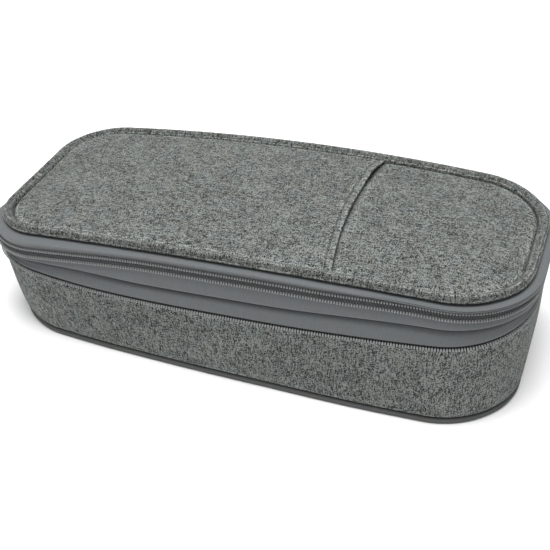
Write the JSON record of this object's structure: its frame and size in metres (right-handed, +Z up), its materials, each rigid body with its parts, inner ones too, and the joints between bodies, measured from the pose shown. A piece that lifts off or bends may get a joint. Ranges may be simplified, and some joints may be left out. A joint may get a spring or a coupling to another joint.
{
  "type": "pencil case",
  "caption": "Soft fabric pencil case with two zipped compartments, a stiff divider leaf with elastic pen loops, and a slip pocket on its lid.",
  "frame": {"origin": "middle of the base, on the surface the case stands on", "axes": "+X along the case towards its right end, +Y towards the hinged back, +Z up"},
  "size_m": [0.2318, 0.1062, 0.0622],
  "materials": {
    "heather_fabric": "linen-look heather weave, matt",
    "tape_fabric": "smooth woven zip tape, matt",
    "coil_nylon": "satin nylon",
    "piping_fabric": "smooth bias tape, matt",
    "lining_fabric": "fine plain-weave lining",
    "foam": "soft foam sheet",
    "board_plastic": "matt sheet",
    "elastic": "ribbed elastic",
    "mesh": "knitted mesh",
    "slider_metal": "satin grey enamel on die-cast metal"
  },
  "bodies": {
    "base": {"bottom_panel": "heather_fabric", "bottom_board": "board_plastic", "floor_lining": "lining_fabric", "bottom_piping": "piping_fabric", "body_wall": "heather_fabric", "body_foam": "foam", "body_lining": "lining_fabric", "zip2_lower_row": "coil_nylon"},
    "leaf": {"gusset_lower": "tape_fabric", "gusset_upper": "tape_fabric", "leaf_spine": "heather_fabric", "leaf_bottom_lining": "lining_fabric", "leaf_board": "board_plastic", "leaf_top_lining": "lining_fabric", "pen_band": "elastic", "zip2_upper_row": "coil_nylon", "zip1_lower_row": "coil_nylon"},
    "lid": {"lid_tape": "tape_fabric", "lid_spine": "heather_fabric", "rim_welt": "heather_fabric", "top_panel": "heather_fabric", "pocket_panel": "heather_fabric", "lid_board": "board_plastic", "lid_lining": "lining_fabric", "mesh_pocket": "mesh", "mesh_binding": "elastic", "zip1_upper_row": "coil_nylon"},
    "zip1_slider": {"zip1_slider": "slider_metal"},
    "zip1_pull": {"zip1_pull": "slider_metal"},
    "zip2_slider": {"zip2_slider": "slider_metal"},
    "zip2_pull": {"zip2_pull": "slider_metal"}
  },
  "joints": [
    {"name": "leaf_hinge", "type": "hinge", "parent": "base", "child": "leaf", "pos_m": [0, 0.0512, 0.03845], "axis": [-0.9992, 0, -0.04], "range_deg": [0, 75]},
    {"name": "lid_hinge", "type": "hinge", "parent": "leaf", "child": "lid", "pos_m": [0, 0.0512, 0.048], "axis": [-0.9992, 0, -0.04], "range_deg": [0, 105]},
    {"name": "zip1_travel", "type": "slide", "parent": "leaf", "child": "zip1_slider", "axis": [0, -1, 0], "range_m": [0, 0.028]},
    {"name": "zip1_swing", "type": "hinge", "parent": "zip1_slider", "child": "zip1_pull", "pos_m": [-0.11595, 0.014, 0.04031], "axis": [0, 0, -1], "range_deg": [0, 180]},
    {"name": "zip2_travel", "type": "slide", "parent": "base", "child": "zip2_slider", "axis": [0, -1, 0], "range_m": [0, 0.028]},
    {"name": "zip2_swing", "type": "hinge", "parent": "zip2_slider", "child": "zip2_pull", "pos_m": [-0.11595, 0.014, 0.03298], "axis": [0, 0, -1], "range_deg": [0, 180]}
  ]
}
